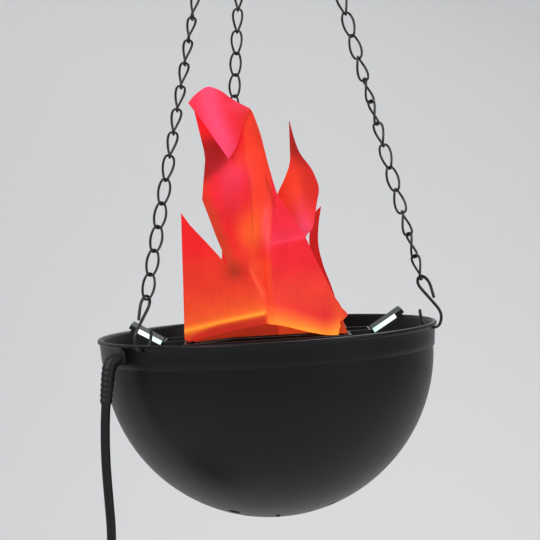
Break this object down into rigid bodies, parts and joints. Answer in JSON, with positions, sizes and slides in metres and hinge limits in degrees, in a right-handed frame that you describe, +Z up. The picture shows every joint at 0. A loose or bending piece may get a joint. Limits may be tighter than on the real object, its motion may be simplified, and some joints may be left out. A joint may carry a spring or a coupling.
{
  "type": "hanging flame light",
  "caption": "Black half-round bowl hung on chains from a ring and hook, with silk tongues blown upward by a fan and lit from below to look like a fire; mains lead at the rim.",
  "frame": {"origin": "underside of the hanging hook's upper bend, where it bears on its support, straight above the lamp's point of balance", "axes": "+Z up; +X to the right and -Y towards the viewer of the picture; the silk tongues stand across X"},
  "size_m": [0.2915, 0.2319, 0.7012],
  "materials": {
    "black_plastic": "moulded, satin",
    "grey_plastic": "moulded, matt",
    "black_steel": "black lacquered wire",
    "steel": "bright",
    "silk_red": "thin woven silk, lit from below",
    "silk_deep": "thin woven silk, in shade",
    "filter_glass": "clear, lit from below",
    "lens": "clear moulded lens, lit",
    "board": "lacquered board",
    "copper": "enamelled copper winding",
    "pin_brass": "bright",
    "lead": "smooth black sheath"
  },
  "bodies": {
    "hook": {"s_hook": "black_steel"},
    "ring": {"top_ring": "black_steel"},
    "lamp": {"bowl": "black_plastic", "deck_plate": "black_plastic", "collar": "black_plastic", "silk_frame": "black_plastic", "glass_bracket_left": "black_plastic", "glass_bracket_right": "black_plastic", "fan_frame": "black_plastic", "cord_relief": "black_plastic", "plug": "black_plastic", "capacitor": "grey_plastic", "terminal_block": "grey_plastic", "cord_tie": "grey_plastic", "chain_right": "black_steel", "chain_back": "black_steel", "chain_left": "black_steel", "chain_hook_right": "black_steel", "chain_hook_back": "black_steel", "chain_hook_left": "black_steel", "base_screw_1": "black_steel", "base_screw_2": "black_steel", "base_screw_3": "black_steel", "base_screw_4": "black_steel", "deck_screw_1": "black_steel", "deck_screw_2": "black_steel", "deck_screw_3": "black_steel", "fan_guard": "steel", "fan_screw_1": "steel", "fan_screw_2": "steel", "fan_screw_3": "steel", "fan_screw_4": "steel", "base_plate": "steel", "transformer_core": "steel", "filter_glass_left": "filter_glass", "filter_glass_right": "filter_glass", "wall_led_left": "lens", "wall_led_right": "lens", "led_lens_front": "lens", "led_lens_rear": "lens", "led_board_front": "board", "led_board_rear": "board", "driver_board": "board", "fan_stator": "copper", "transformer_coil": "copper", "plug_pin_left": "pin_brass", "plug_pin_right": "pin_brass", "mains_lead": "lead", "fan_lead": "lead", "led_lead_front": "lead", "led_lead_rear": "lead", "mains_cord": "lead", "cord_coil": "lead"},
    "rotor": {"fan_shaft": "steel", "fan_impeller": "black_plastic"},
    "silk_front": {"silk_left": "silk_red", "silk_tall": "silk_red"},
    "silk_side": {"silk_right": "silk_red", "silk_far_right": "silk_red"},
    "silk_rear": {"silk_back": "silk_deep"}
  },
  "joints": [
    {"name": "ring_swing", "type": "hinge", "parent": "hook", "child": "ring", "pos_m": [0, 0, -0.04205], "axis": [0, 1, 0], "range_deg": [-25, 25]},
    {"name": "lamp_swing", "type": "hinge", "parent": "ring", "child": "lamp", "pos_m": [0, 0, -0.0637], "axis": [1, 0, 0], "range_deg": [-15, 15]},
    {"name": "fan_spin", "type": "hinge", "parent": "lamp", "child": "rotor", "pos_m": [-0.0133, 0, -0.5075], "axis": [0, 0, 1], "continuous": true},
    {"name": "silk_lean", "type": "hinge", "parent": "lamp", "child": "silk_front", "pos_m": [-0.0133, 0.005, -0.4836], "axis": [-1, 0, 0], "range_deg": [0, 8], "stiffness_Nm_per_rad": 0.05},
    {"name": "side_silk_lean", "type": "hinge", "parent": "lamp", "child": "silk_side", "pos_m": [-0.0133, 0.033, -0.4836], "axis": [-1, 0, 0], "range_deg": [0, 8], "stiffness_Nm_per_rad": 0.05},
    {"name": "rear_silk_lean", "type": "hinge", "parent": "lamp", "child": "silk_rear", "pos_m": [-0.0133, 0.033, -0.4836], "axis": [-1, 0, 0], "range_deg": [0, 8], "stiffness_Nm_per_rad": 0.05}
  ],
  "couplings": [
    {"joint": "side_silk_lean", "follows": "silk_lean", "ratio": 1},
    {"joint": "rear_silk_lean", "follows": "silk_lean", "ratio": 1}
  ]
}
